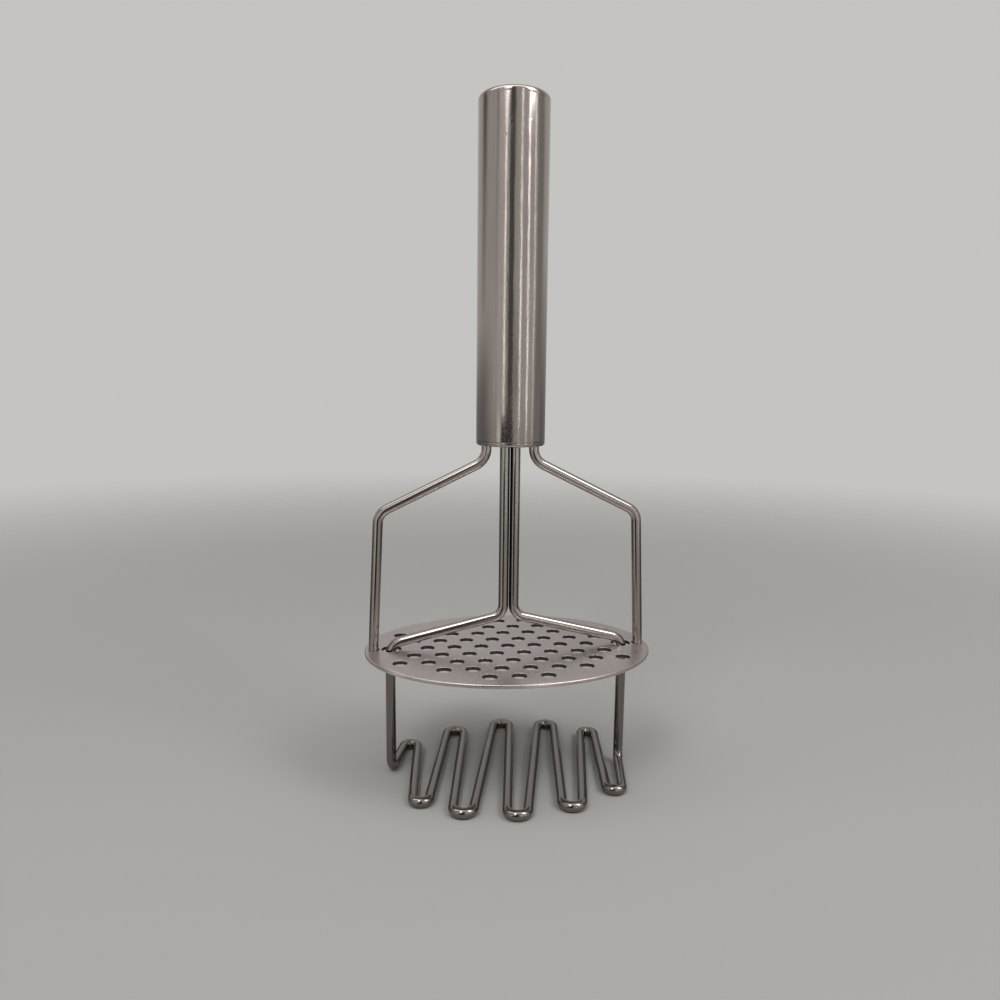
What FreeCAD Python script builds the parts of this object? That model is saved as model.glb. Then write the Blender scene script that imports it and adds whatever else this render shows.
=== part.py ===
"""Double-action potato masher: a wave of wire presses first, then a perforated plate slides down to it.

The wave grid stands on the work surface and hangs from two press rods that run side by side up into the
handle, where a spring holds them out. The handle carries a bent wire frame with the perforated plate at its
feet. Pushing the handle down slides the plate along the legs of the press rods, towards the wave grid.

The origin is on the work surface under the handle's axis. +Z is up and +X runs from leg to leg.
"""

import FreeCAD, Part
import math
import os

from FreeCAD import Vector

# Wire stock and fits, in millimetres
wire_diameter = 4.0
running_clearance = 0.08
loose_clearance = 0.35
seat_clearance = 0.05
stop_gap = 0.2
cut_overrun = 1.0

# Handle shell
handle_diameter = 27.1
handle_wall = 0.8
tube_length = 125.4
top_cap_thickness = 2.6
top_cap_edge_share = 0.8
end_cap_thickness = 1.6
end_cap_edge_share = 0.75
spigot_length = 5.0
spigot_wall = 0.8

# Inside the handle
guide_block_height = 20.0
spring_plate_thickness = 3.0
spring_boss_height = 3.0
spring_seat_thickness = 1.5
spring_side_clearance = 2.4
spring_wire_diameter = 1.5
spring_turns = 18
spring_play = 0.3

# Perforated plate
plate_length = 116.0
plate_depth = 85.8
plate_thickness = 1.5
plate_top_height = 53.2
plate_edge_share = 0.3
plate_hole_diameter = 5.7
plate_hole_pitch = 10.95
plate_row_pitch = 8.5
plate_hole_rim_margin = 7.6
plate_hole_web = 2.4
leg_hole_clearance = 2.0
leg_hole_inset = 0.5
frame_hole_clearance = 0.25

# Fixed frame that carries the plate
frame_exit_inset = 4.1
frame_foot_inset = 3.55
frame_splay = 2.5
frame_upright_length = 55.4
frame_slant_rise = 21.1
frame_exit_straight = 1.3
frame_top_bend_inside_radius = 5.4
frame_shoulder_bend_inside_radius = 4.5
frame_head_overhang = 1.0
frame_head_height = 1.1

# Press rods
rod_gap = 0.2
leg_to_foot_spacing = 6.6
leg_bend_rise = 2.1
arm_rise = 11.05
rod_split_bend_inside_radius = 3.5
leg_bend_inside_radius = 4.0

# Wave grid: places along X as shares of the legs' distance from the axis, reaches as shares of the plate's
# half depth
wave_back_x_shares = (-0.836, -0.414, 0.04, 0.464, 0.834)
wave_back_reach_shares = (0.5, 0.772, 0.907, 0.841, 0.618)
wave_front_x_shares = (-0.754, -0.426, -0.007, 0.443, 0.838)
wave_front_reach_shares = (0.657, 0.872, 0.953, 0.86, 0.615)
wave_end_turn_inside_radius = 1.2
wave_turn_inside_radius = 1.9
foot_bend_inside_radius = 2.5
foot_stub_length = 2.0

# Sizes that follow from the ones above
wire_radius = wire_diameter / 2
handle_radius = handle_diameter / 2
bore_radius = handle_radius - handle_wall
plate_half_length = plate_length / 2
plate_half_depth = plate_depth / 2
plate_bottom_height = plate_top_height - plate_thickness

frame_exit_offset = handle_radius - frame_exit_inset
frame_foot_offset = plate_half_length - frame_foot_inset
frame_shoulder_offset = frame_foot_offset - frame_splay
frame_shoulder_height = plate_top_height + frame_upright_length
frame_corner_height = frame_shoulder_height + frame_slant_rise
frame_top_bend_radius = frame_top_bend_inside_radius + wire_radius
frame_shoulder_bend_radius = frame_shoulder_bend_inside_radius + wire_radius
frame_top_turn = math.atan2(frame_shoulder_offset - frame_exit_offset, frame_slant_rise)
frame_top_bend_drop = frame_top_bend_radius * math.tan(frame_top_turn / 2)

handle_base_height = frame_corner_height + frame_top_bend_drop + frame_exit_straight
tube_bottom = handle_base_height + end_cap_thickness
tube_top = tube_bottom + tube_length
handle_top = tube_top + top_cap_thickness
spigot_radius = bore_radius - seat_clearance
spigot_bore_radius = spigot_radius - spigot_wall

guide_block_bottom = tube_bottom + spigot_length
guide_block_top = guide_block_bottom + guide_block_height
spring_plate_bottom = guide_block_top + stop_gap
spring_plate_top = spring_plate_bottom + spring_plate_thickness
rod_top = spring_plate_top + spring_boss_height
spring_seat_top = tube_top - spigot_length
spring_seat_bottom = spring_seat_top - spring_seat_thickness
spring_wire_radius = spring_wire_diameter / 2
spring_radius = bore_radius - spring_side_clearance - spring_wire_radius
spring_boss_radius = spring_radius - spring_wire_radius - spring_play

rod_offset = (wire_diameter + rod_gap) / 2
leg_offset = frame_foot_offset - leg_to_foot_spacing
leg_bend_height = plate_top_height + leg_bend_rise
rod_split_height = leg_bend_height + arm_rise
rod_split_bend_radius = rod_split_bend_inside_radius + wire_radius
leg_bend_radius = leg_bend_inside_radius + wire_radius
leg_hole_radius = wire_radius + leg_hole_clearance
wave_end_turn_radius = wave_end_turn_inside_radius + wire_radius
wave_turn_radius = wave_turn_inside_radius + wire_radius
foot_bend_radius = foot_bend_inside_radius + wire_radius
foot_joint_height = wire_radius + foot_bend_radius + foot_stub_length

AXIS_UP = Vector(0, 0, 1)


def unit(vector):
    """The same direction at length 1."""
    return vector / vector.Length


def line(start, end):
    return Part.LineSegment(start, end).toShape()


def arc_from_tangent(start, tangent, end):
    """The arc that leaves start along tangent and reaches end."""
    chord = end - start
    along = unit(chord)
    side = tangent - along * tangent.dot(along)
    turn = math.atan2(side.Length, tangent.dot(along))
    sagitta = chord.Length / 2 * math.tan(turn / 2)
    middle = (start + end) / 2 + unit(side) * sagitta
    return Part.Arc(start, middle, end).toShape()


def bent_path(points, bend_radii):
    """Straight runs through the points, with a tangent arc of the given radius at each inner point."""
    edges = []
    here = points[0]
    for before, corner, after, radius in zip(points, points[1:], points[2:], bend_radii):
        into = unit(corner - before)
        out = unit(after - corner)
        tangent_length = radius * math.tan(into.getAngle(out) / 2)
        arc_start = corner - into * tangent_length
        arc_end = corner + out * tangent_length
        edges.append(line(here, arc_start))
        edges.append(arc_from_tangent(arc_start, into, arc_end))
        here = arc_end
    edges.append(line(here, points[-1]))
    return edges


def drawn_wire(edges, radius):
    """A round wire of the given radius along the edges, which run on smoothly from each other."""
    path = Part.Wire(edges)
    first = edges[0]
    start = first.valueAt(first.FirstParameter)
    direction = first.tangentAt(first.FirstParameter)
    section = Part.Wire([Part.makeCircle(radius, start, direction)])
    solid = path.makePipeShell([section], True, False)
    expected = math.pi * radius**2 * path.Length
    print(f"wire length {path.Length:.1f} mm, volume {solid.Volume / expected:.4f} of section times length")
    return Part.Solid(solid) if solid.ShapeType == "Shell" else solid


def cylinder(radius, bottom, top, x=0):
    """An upright cylinder between two heights, with its axis at x."""
    return Part.makeCylinder(radius, top - bottom, Vector(x, 0, bottom), AXIS_UP)


def slot(half_length, radius, bottom, top):
    """An upright slot with round ends, centred on the axis and long in X."""
    corner = Vector(-half_length, -radius, bottom)
    box = Part.makeBox(half_length * 2, radius * 2, top - bottom, corner)
    ends = [cylinder(radius, bottom, top, x) for x in (-half_length, half_length)]
    return box.fuse(ends).removeSplitter()


def rim_at(disc, point):
    """The round or oval edge of a disc whose centre lies nearest to a point on the disc's axis."""
    rims = [edge for edge in disc.Edges if isinstance(edge.Curve, (Part.Circle, Part.Ellipse))]
    return min(rims, key=lambda edge: edge.Curve.Center.distanceToPoint(point))


def half_turned(shape):
    """The shape turned half a turn about the handle's axis."""
    turned = shape.copy()
    turned.rotate(Vector(0, 0, 0), AXIS_UP, 180)
    return turned


# Handle


def make_handle_tube():
    outside = cylinder(handle_radius, tube_bottom, tube_top)
    return outside.cut(cylinder(bore_radius, tube_bottom - cut_overrun, tube_top + cut_overrun))


def spigot(bottom, top):
    """The thin ring of a cap that fits inside the tube."""
    outside = cylinder(spigot_radius, bottom, top)
    return outside.cut(cylinder(spigot_bore_radius, bottom - cut_overrun, top + cut_overrun))


def make_top_cap():
    disc = cylinder(handle_radius, tube_top, handle_top)
    rim = rim_at(disc, Vector(0, 0, handle_top))
    disc = disc.makeFillet(top_cap_thickness * top_cap_edge_share, [rim])
    return disc.fuse(spigot(tube_top - spigot_length, tube_top)).removeSplitter()


def make_end_cap():
    disc = cylinder(handle_radius, handle_base_height, tube_bottom)
    rim = rim_at(disc, Vector(0, 0, handle_base_height))
    disc = disc.makeFillet(end_cap_thickness * end_cap_edge_share, [rim])
    cap = disc.fuse(spigot(tube_bottom, tube_bottom + spigot_length)).removeSplitter()
    low = handle_base_height - cut_overrun
    high = tube_bottom + cut_overrun
    openings = [slot(rod_offset, wire_radius + loose_clearance, low, high)]
    for x in (-frame_exit_offset, frame_exit_offset):
        openings.append(cylinder(wire_radius + seat_clearance, low, high, x))
    return cap.cut(openings)


def make_guide_block():
    """The block that holds the frame rods and lets the press rods slide, side by side in one slot."""
    block = cylinder(bore_radius - seat_clearance, guide_block_bottom, guide_block_top)
    low = guide_block_bottom - cut_overrun
    high = guide_block_top + cut_overrun
    openings = [slot(rod_offset, wire_radius + running_clearance, low, high)]
    for x in (-frame_exit_offset, frame_exit_offset):
        openings.append(cylinder(wire_radius + seat_clearance, low, high, x))
    return block.cut(openings)


def make_spring_seat():
    """The washer under the top cap, with a collar that centres the spring."""
    washer = cylinder(spigot_radius - seat_clearance, spring_seat_bottom, spring_seat_top)
    collar = cylinder(spring_boss_radius, spring_seat_bottom - spring_boss_height, spring_seat_bottom)
    return washer.fuse(collar).removeSplitter()


def helix_point(radius, pitch, base, turns):
    angle = turns * math.tau
    return Vector(radius * math.cos(angle), radius * math.sin(angle), base + pitch * turns)


def helix_tangent(radius, pitch, turns):
    angle = turns * math.tau
    around = radius * math.tau
    return unit(Vector(-around * math.sin(angle), around * math.cos(angle), pitch))


def helix_edges(radius, pitch, base, turns):
    """A helix as pairs of arcs, one pair for each half turn."""
    edges = []
    steps = 2 * turns
    for step in range(steps):
        begin = step / 2
        end = begin + 1 / 2
        start, finish = (helix_point(radius, pitch, base, t) for t in (begin, end))
        into, out = (helix_tangent(radius, pitch, t) for t in (begin, end))
        chord = finish - start
        both = into + out
        spread = 2 * (1 - into.dot(out))
        reach = (math.sqrt(chord.dot(both) ** 2 + spread * chord.dot(chord)) - chord.dot(both)) / spread
        middle = (start + finish + (into - out) * reach) / 2
        edges.append(arc_from_tangent(start, into, middle))
        middle_tangent = unit(middle - start - into * reach)
        edges.append(arc_from_tangent(middle, middle_tangent, finish))
    return edges


def make_return_spring():
    base = spring_plate_top + spring_wire_radius + spring_play
    top = spring_seat_bottom - spring_wire_radius - spring_play
    pitch = (top - base) / spring_turns
    print(f"spring gap between turns {pitch - spring_wire_diameter:.2f} mm")
    return drawn_wire(helix_edges(spring_radius, pitch, base, spring_turns), spring_wire_radius)


# Fixed frame and perforated plate


def frame_foot_direction():
    """The way the frame rod runs from its shoulder down to the plate."""
    return unit(Vector(frame_splay, 0, -frame_upright_length))


def make_frame_rod():
    """The right-hand frame rod, with its foot through the plate and headed over underneath."""
    down = frame_foot_direction()
    foot = Vector(frame_foot_offset, 0, plate_top_height)
    rod_end = foot + down * plate_thickness
    points = (
        Vector(frame_exit_offset, 0, guide_block_top),
        Vector(frame_exit_offset, 0, frame_corner_height),
        Vector(frame_shoulder_offset, 0, frame_shoulder_height),
        rod_end,
    )
    rod = drawn_wire(bent_path(points, (frame_top_bend_radius, frame_shoulder_bend_radius)), wire_radius)
    head_top = rod_end + down * seat_clearance
    head = Part.makeCylinder(wire_radius + frame_head_overhang, frame_head_height, head_top, down)
    rim = rim_at(head, head_top + down * frame_head_height)
    head = head.makeFillet(frame_head_height / 2, [rim])
    neck = Part.makeCylinder(wire_radius, seat_clearance * 2, rod_end - down * seat_clearance, down)
    return rod.fuse([neck, head]).removeSplitter()


def plate_hole_places():
    """Centres of the small holes: rows along X, every second row half a pitch over.

    A hole keeps its margin to the rim and a web to the holes that the legs run through.
    """
    length_limit = plate_half_length - plate_hole_rim_margin
    depth_limit = plate_half_depth - plate_hole_rim_margin
    leg_limit = leg_hole_radius + plate_hole_diameter / 2 + plate_hole_web
    leg_hole_offset = leg_offset - leg_hole_inset
    rows = math.floor(depth_limit / plate_row_pitch)
    columns = math.floor(length_limit / plate_hole_pitch)
    for row in range(-rows, rows + 1):
        y = row * plate_row_pitch
        shift = (row % 2) / 2
        for column in range(-columns - 1, columns + 1):
            x = (column + shift) * plate_hole_pitch
            clear_of_rim = math.hypot(x / length_limit, y / depth_limit) <= 1
            clear_of_legs = math.hypot(abs(x) - leg_hole_offset, y) >= leg_limit
            if clear_of_rim and clear_of_legs:
                yield x, y


def make_mashing_plate():
    outline = Part.Ellipse(Vector(0, 0, plate_bottom_height), plate_half_length, plate_half_depth)
    plate = Part.Face(Part.Wire([outline.toShape()])).extrude(AXIS_UP * plate_thickness)
    rims = [rim_at(plate, Vector(0, 0, z)) for z in (plate_bottom_height, plate_top_height)]
    plate = plate.makeFillet(plate_thickness * plate_edge_share, rims)
    low = plate_bottom_height - cut_overrun
    depth = plate_thickness + cut_overrun * 2
    places = list(plate_hole_places())
    print(f"plate holes {len(places)}")
    openings = [
        Part.makeCylinder(plate_hole_diameter / 2, depth, Vector(x, y, low), AXIS_UP) for x, y in places
    ]
    down = frame_foot_direction()
    foot_hole_x = frame_foot_offset - frame_hole_clearance + seat_clearance
    foot_hole_start = Vector(foot_hole_x, 0, plate_top_height) - down * cut_overrun
    foot_hole = Part.makeCylinder(wire_radius + frame_hole_clearance, depth, foot_hole_start, down)
    leg_hole_place = Vector(leg_offset - leg_hole_inset, 0, low)
    leg_hole = Part.makeCylinder(leg_hole_radius, depth, leg_hole_place, AXIS_UP)
    for hole in (foot_hole, leg_hole):
        openings += [hole, half_turned(hole)]
    return plate.cut(openings)


# Press rods and wave grid


def make_press_rod():
    """The right-hand press rod: up the handle, out along its arm and down its leg."""
    points = (
        Vector(rod_offset, 0, rod_top),
        Vector(rod_offset, 0, rod_split_height),
        Vector(leg_offset, 0, leg_bend_height),
        Vector(leg_offset, 0, foot_joint_height),
    )
    return drawn_wire(bent_path(points, (rod_split_bend_radius, leg_bend_radius)), wire_radius)


def wave_turns():
    """Centre, radius and sense of each turn of the wave; sense is 1 for anticlockwise from above."""
    backs = list(zip(wave_back_x_shares, wave_back_reach_shares))
    fronts = list(zip(wave_front_x_shares, wave_front_reach_shares))
    ends = (0, len(backs) - 1)
    for index, (back, front) in enumerate(zip(backs, fronts)):
        radius = wave_end_turn_radius if index in ends else wave_turn_radius
        for (x_share, reach_share), sense in ((back, -1), (front, 1)):
            inward = sense * (radius - reach_share * plate_half_depth)
            yield Vector(x_share * leg_offset, inward, wire_radius), radius, sense


def tangent_points(first, second):
    """Where a straight run leaves one turn and meets the next, each given as centre, radius and sense."""
    centre, radius, sense = first
    next_centre, next_radius, next_sense = second
    span = next_centre - centre
    shift = next_sense * next_radius - sense * radius
    run = math.sqrt(span.x**2 + span.y**2 - shift**2)
    heading = math.atan2(span.y, span.x) - math.atan2(shift, run)
    outward = Vector(math.sin(heading), -math.cos(heading), 0)
    return centre + outward * (sense * radius), next_centre + outward * (next_sense * next_radius)


def make_wave_grid():
    """One wire: down a foot, back and forth across the oval outline and up the other foot."""
    left_foot = Vector(-leg_offset, 0, wire_radius)
    right_foot = Vector(leg_offset, 0, wire_radius)
    stops = [(left_foot, 0, 1), *wave_turns(), (right_foot, 0, 1)]
    runs = [tangent_points(a, b) for a, b in zip(stops, stops[1:])]
    joint_rise = Vector(0, 0, foot_joint_height - wire_radius)
    edges = bent_path((left_foot + joint_rise, left_foot, runs[0][1]), (foot_bend_radius,))
    for before, after in zip(runs, runs[1:-1]):
        edges.append(arc_from_tangent(before[1], unit(before[1] - before[0]), after[0]))
        edges.append(line(*after))
    last = runs[-1]
    edges.append(arc_from_tangent(runs[-2][1], unit(runs[-2][1] - runs[-2][0]), last[0]))
    edges += bent_path((last[0], right_foot, right_foot + joint_rise), (foot_bend_radius,))
    return drawn_wire(edges, wire_radius)


def make_spring_plate():
    """The disc on the tops of the press rods that the spring pushes on."""
    disc = cylinder(bore_radius - running_clearance, spring_plate_bottom, spring_plate_top)
    boss = cylinder(spring_boss_radius, spring_plate_top, rod_top)
    low = spring_plate_bottom - cut_overrun
    high = rod_top + cut_overrun
    return disc.fuse(boss).removeSplitter().cut(slot(rod_offset, wire_radius + seat_clearance, low, high))


def main():
    frame_rod = make_frame_rod()
    press_rod = make_press_rod()
    pieces = {
        "handle_tube": make_handle_tube(),
        "top_cap": make_top_cap(),
        "end_cap": make_end_cap(),
        "guide_block": make_guide_block(),
        "spring_seat": make_spring_seat(),
        "return_spring": make_return_spring(),
        "frame_rod_right": frame_rod,
        "frame_rod_left": half_turned(frame_rod),
        "mashing_plate": make_mashing_plate(),
        "press_rod_right": press_rod,
        "press_rod_left": half_turned(press_rod),
        "wave_grid": make_wave_grid(),
        "spring_plate": make_spring_plate(),
    }
    os.makedirs("parts", exist_ok=True)
    for name, shape in pieces.items():
        print(name, shape.isValid(), len(shape.Solids), round(shape.Volume, 1))
        shape.exportStep(f"parts/{name}.step")


main()
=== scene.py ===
"""Double-action potato masher in satin steel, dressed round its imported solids.

The handle, the bent wires and the perforated plate are drawn here again with finer edges and with the
wire's own drawing lines, and the spring is wound here so that it can shorten. The handle's two caps and the
other pieces inside it keep their solids.
"""

import math

import bmesh
import bpy
from bpy.props import FloatProperty, FloatVectorProperty, IntProperty, PointerProperty
from bpy.types import Operator, Panel, PropertyGroup
from mathutils import Matrix, Vector


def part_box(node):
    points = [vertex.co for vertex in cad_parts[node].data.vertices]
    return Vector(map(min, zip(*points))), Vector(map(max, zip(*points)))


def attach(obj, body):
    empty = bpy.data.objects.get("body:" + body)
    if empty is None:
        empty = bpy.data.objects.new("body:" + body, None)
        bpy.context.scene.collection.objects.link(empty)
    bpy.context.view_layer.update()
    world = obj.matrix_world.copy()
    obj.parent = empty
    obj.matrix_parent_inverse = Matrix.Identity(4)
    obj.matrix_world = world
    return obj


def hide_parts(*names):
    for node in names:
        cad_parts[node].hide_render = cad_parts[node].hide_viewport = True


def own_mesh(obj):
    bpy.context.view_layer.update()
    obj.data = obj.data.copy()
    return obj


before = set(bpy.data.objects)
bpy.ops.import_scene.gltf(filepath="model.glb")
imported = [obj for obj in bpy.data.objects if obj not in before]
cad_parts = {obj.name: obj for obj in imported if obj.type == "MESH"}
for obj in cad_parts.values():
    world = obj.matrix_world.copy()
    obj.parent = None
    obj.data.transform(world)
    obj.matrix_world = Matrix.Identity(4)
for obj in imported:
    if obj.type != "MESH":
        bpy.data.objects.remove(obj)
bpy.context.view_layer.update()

bl_info = {
    "name": "Double-action potato masher",
    "version": (1, 0, 0),
    "blender": (4, 5, 0),
    "location": "View3D > Sidebar > Masher",
    "description": "Builds a steel potato masher with a wire wave and a spring-loaded perforated plate",
    "category": "Add Mesh",
}

HANDLE_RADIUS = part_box("handle_tube")[1].x
UP = Vector((0, 0, 1))
SIDES = (("left", -1), ("right", 1))

# Steps round the plate's rim, round a hole, round the floor and over a headed foot's edge
RIM_STEPS = 192
HOLE_STEPS = 32
FLOOR_STEPS = 96
HEAD_STEPS = 4

# Steps in a rounded edge of the tube and of the plate, and degrees in a step of a studio card
TUBE_EDGE_STEPS = 4
PLATE_EDGE_STEPS = 3
CARD_STEP = 3

# Angles past which an edge is shaded as a sharp one, and past which an edge of the plate is rounded
SHARP_ANGLE = math.radians(40)
PUNCHED_ANGLE = math.radians(60)

# Shares of the plate's reach: past the first an edge is on the rim, within the second a face may line a hole
RIM_SHARE = 0.995
LINING_SHARE = 0.98

# Distance in metres within which vertices are one
MERGE_DISTANCE = 1e-7

# Warm whites of the studio cards and of the sky, and the camera's sensor in millimetres
CARD_WHITE = (1, 0.985, 0.97)
SKY_WHITE = (1, 0.99, 0.975)
SENSOR_WIDTH = 36

# The wave's turns: place along X as a share of a leg's distance, reach as a share of the plate's half depth
BACK_TURNS = ((-0.836, 0.5), (-0.414, 0.772), (0.04, 0.907), (0.464, 0.841), (0.834, 0.618))
FRONT_TURNS = ((-0.754, 0.657), (-0.426, 0.872), (-0.007, 0.953), (0.443, 0.86), (0.838, 0.615))

# Small dents in the handle: degrees round from the front, height and radius in metres
DENTS = (
    (18.6, 0.2537, 0.0007),
    (-21.5, 0.2479, 0.0009),
    (-32.5, 0.2410, 0.0005),
    (63, 0.196, 0.0007),
    (150, 0.226, 0.0008),
)

# Worn spots on the lower grip: degrees round from the front, height and radius in metres
WORN_SPOTS = ((-7, 0.14, 0.0042), (-5, 0.146, 0.0045), (-8, 0.152, 0.004))

# Rubbed stretches of the plate's rim: degrees round from the front, and radius in metres
RUBBED_STRETCHES = ((7.6, 0.008), (-52, 0.006), (118, 0.009), (-148, 0.007))

# Studio cards that only reflections see: degrees round from the camera, width and soft edge in degrees,
# distance, lower edge and upper edge in metres, grey level at the lower edge and at the upper edge
CARDS = (
    ("dark_card_camera", -4, 20, 3, 0.5, 0, 0.9, 0.11, 0.1),
    ("grey_card_front", 13.5, 20, 6, 0.505, 0.08, 0.22, 0.3, 0.52),
    ("bright_card_left", -37, 26, 6, 0.51, 0, 0.9, 0.66, 0.66),
    ("grey_card_slim", -53, 8, 3, 0.5, 0.18, 0.6, 0.54, 0.27),
    ("grey_card_left", -106, 28, 10, 0.5, 0.22, 0.6, 0.46, 0.02),
    ("grey_card_right", 98, 36, 8, 0.5, 0, 0.9, 0.3, 0.33),
    ("white_card_left", -23.5, 4.4, 1, 0.5, 0.02, 0.65, 1.8, 3.2),
    ("white_card_near", 27, 3, 1, 0.5, 0.02, 0.65, 2.8, 4.6),
    ("white_card_mid", 52, 4, 1, 0.5, 0.02, 0.65, 2.4, 4.6),
    ("white_card_far", 75, 3.6, 1, 0.5, 0.02, 0.65, 1.2, 3.4),
    ("side_card_left", -125, 130, 40, 0.52, 0.11, 0.21, 0.24, 0.56),
    ("side_card_right", 132, 110, 20, 0.52, 0.11, 0.3, 0.24, 0.56),
    ("skirt_card_left", -125, 130, 40, 0.52, 0, 0.11, 0.16, 0.24),
    ("skirt_card_right", 132, 110, 20, 0.52, 0, 0.11, 0.16, 0.24),
    ("low_card_left", -118, 92, 10, 0.24, 0, 0.08, 0.09, 0.13),
    ("low_card_right", 118, 92, 10, 0.24, 0, 0.08, 0.09, 0.13),
    ("low_card_back", 180, 44, 4, 0.25, 0, 0.08, 0.2, 0.26),
    ("low_card_camera", -12, 42, 4, 0.24, 0, 0.1, 0.03, 0.05),
    ("low_card_white", -40, 9, 2, 0.24, 0, 0.1, 1.0, 1.0),
)

# Soft lamps: degrees round from the camera, degrees up, width and depth in metres, share of the power
LAMPS = (
    ("lamp_left", -27, 54, 0.36, 0.62, 0.275),
    ("lamp_right", 61, 50, 0.36, 0.56, 0.24),
    ("lamp_top", 0, 84, 2.8, 0.46, 0.485),
)


def length(name, description, default):
    """A property for a length in metres."""
    return FloatProperty(
        name=name, description=description, default=default, min=0, precision=5, subtype="DISTANCE",
        unit="LENGTH",
    )


def colour(name, description, default):
    """A property for a colour."""
    return FloatVectorProperty(
        name=name, description=description, default=default, size=3, min=0, max=1, subtype="COLOR"
    )


def share(name, description, default):
    """A property for a share from 0 to 1."""
    return FloatProperty(name=name, description=description, default=default, min=0, max=1, subtype="FACTOR")


class MasherSizes(PropertyGroup):
    """Sizes of the pieces that are drawn here."""

    wire_diameter: length("Wire diameter", "Thickness of the frame, press rod and wave wire", 0.004)
    wire_sides: IntProperty(name="Wire sides", description="Faces round the wire", default=32, min=8)
    bend_step: FloatProperty(
        name="Bend step", description="Turn of each step in a bend", default=math.radians(6), subtype="ANGLE"
    )
    frame_corner_height: length("Frame corner", "Height of the frame's corner under the handle", 0.1297)
    frame_shoulder_height: length("Frame shoulder", "Height of the frame's shoulder", 0.1086)
    frame_splay: length("Frame splay", "How far a frame foot stands out from its shoulder", 0.0025)
    frame_corner_bend: length("Corner bend", "Bend radius under the handle", 0.0074)
    frame_shoulder_bend: length("Shoulder bend", "Bend radius at the shoulder", 0.0065)
    frame_head_overhang: length("Head overhang", "How far a headed foot stands out from its wire", 0.001)
    frame_head_height: length("Head height", "Height of a headed foot under the plate", 0.0011)
    rod_split_height: length("Rod split", "Height where the press rods part", 0.06635)
    rod_split_bend: length("Split bend", "Bend radius where the press rods part", 0.0055)
    # The rods' seam is painted shade between the two rods.
    rod_seam: length("Rod seam", "Width of the dark seam where the press rods lie side by side", 0.0024)
    leg_bend_height: length("Leg bend height", "Height of the bend from arm to leg", 0.0553)
    leg_bend: length("Leg bend", "Bend radius from arm to leg", 0.006)
    foot_bend: length("Foot bend", "Bend radius from leg to wave", 0.0045)
    wave_end_turn: length("End turn", "Radius of the wave's outer turns", 0.0032)
    wave_turn: length("Wave turn", "Radius of the wave's inner turns", 0.0039)
    plate_edge: length("Plate edge", "Rounding of the plate's rim", 0.00045)
    hole_diameter: length("Hole diameter", "Width of the plate's small holes", 0.0057)
    hole_pitch: length("Hole pitch", "Distance between holes in a row", 0.01095)
    row_pitch: length("Row pitch", "Distance between rows of holes", 0.0085)
    hole_rim_margin: length("Rim margin", "Least distance from the rim to a hole's middle", 0.0076)
    hole_web: length("Hole web", "Least steel between a small hole and a leg's hole", 0.0024)
    hole_edge: length("Hole edge", "Rounding of the punched edges", 0.00018)
    leg_hole_diameter: length("Leg hole", "Width of the holes that the legs run through", 0.008)
    leg_hole_inset: length("Leg hole inset", "How far a leg's hole sits in from its leg", 0.0005)
    foot_hole_diameter: length("Foot hole", "Width of the holes that hold the frame's feet", 0.0045)
    foot_hole_inset: length("Foot hole inset", "How far a foot's hole sits in from its foot", 0.0002)
    tube_wall: length("Tube wall", "Thickness of the handle's wall", 0.0008)
    tube_top_edge: length("Tube top edge", "Rounding of the tube's edge at the top cap", 0.00006)
    tube_low_edge: length("Tube low edge", "Rounding of the tube's edge at the end cap", 0.0004)
    tube_steps: IntProperty(name="Tube steps", description="Faces round the handle", default=128, min=16)
    spring_wire_diameter: length("Spring wire", "Thickness of the return spring's wire", 0.0015)
    spring_wire_sides: IntProperty(
        name="Spring wire sides", description="Faces round the spring's wire", default=12, min=8
    )
    spring_turns: IntProperty(
        name="Spring turns", description="Turns of the return spring", default=18, min=1
    )
    spring_turn_steps: IntProperty(name="Spring steps", description="Steps in each turn", default=32, min=8)


class MasherFinish(PropertyGroup):
    """Colours and polish of the pieces."""

    handle_colour: colour("Handle", "Steel of the handle", (0.43, 0.382, 0.356))
    wire_colour: colour("Wire", "Steel of the frame and the press rods", (0.37, 0.336, 0.316))
    # The wave's colour is darker than the other wire's as painted shade from the plate above it; its scuffs
    # are wear.
    wave_colour_painted_shade: colour("Wave", "Steel of the wave, dulled by use", (0.25, 0.226, 0.211))
    plate_colour: colour("Plate", "Steel of the plate", (0.56, 0.497, 0.484))
    # The hole walls' near-black colour is partly dull sheared steel and partly painted shade inside the
    # holes.
    sheared_and_shaded_colour: colour("Punched edges", "Sheared steel inside the plate's holes", (0.09, 0.083, 0.08))
    disc_colour: colour("Spring plate", "Steel of the disc under the spring", (0.40, 0.39, 0.38))
    spring_colour: colour("Spring", "Steel of the spring", (0.34, 0.33, 0.33))
    nylon_colour: colour("Nylon", "Colour of the guide block and the spring seat", (0.72, 0.70, 0.65))
    handle_roughness: share("Handle roughness", "How blurred the handle's reflections are", 0.13)
    wire_roughness: share("Wire roughness", "How blurred the wire's reflections are", 0.13)
    wave_roughness: share("Wave roughness", "How blurred the wave's reflections are", 0.11)
    plate_roughness: share("Plate roughness", "How blurred the plate's reflections are", 0.31)


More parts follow.
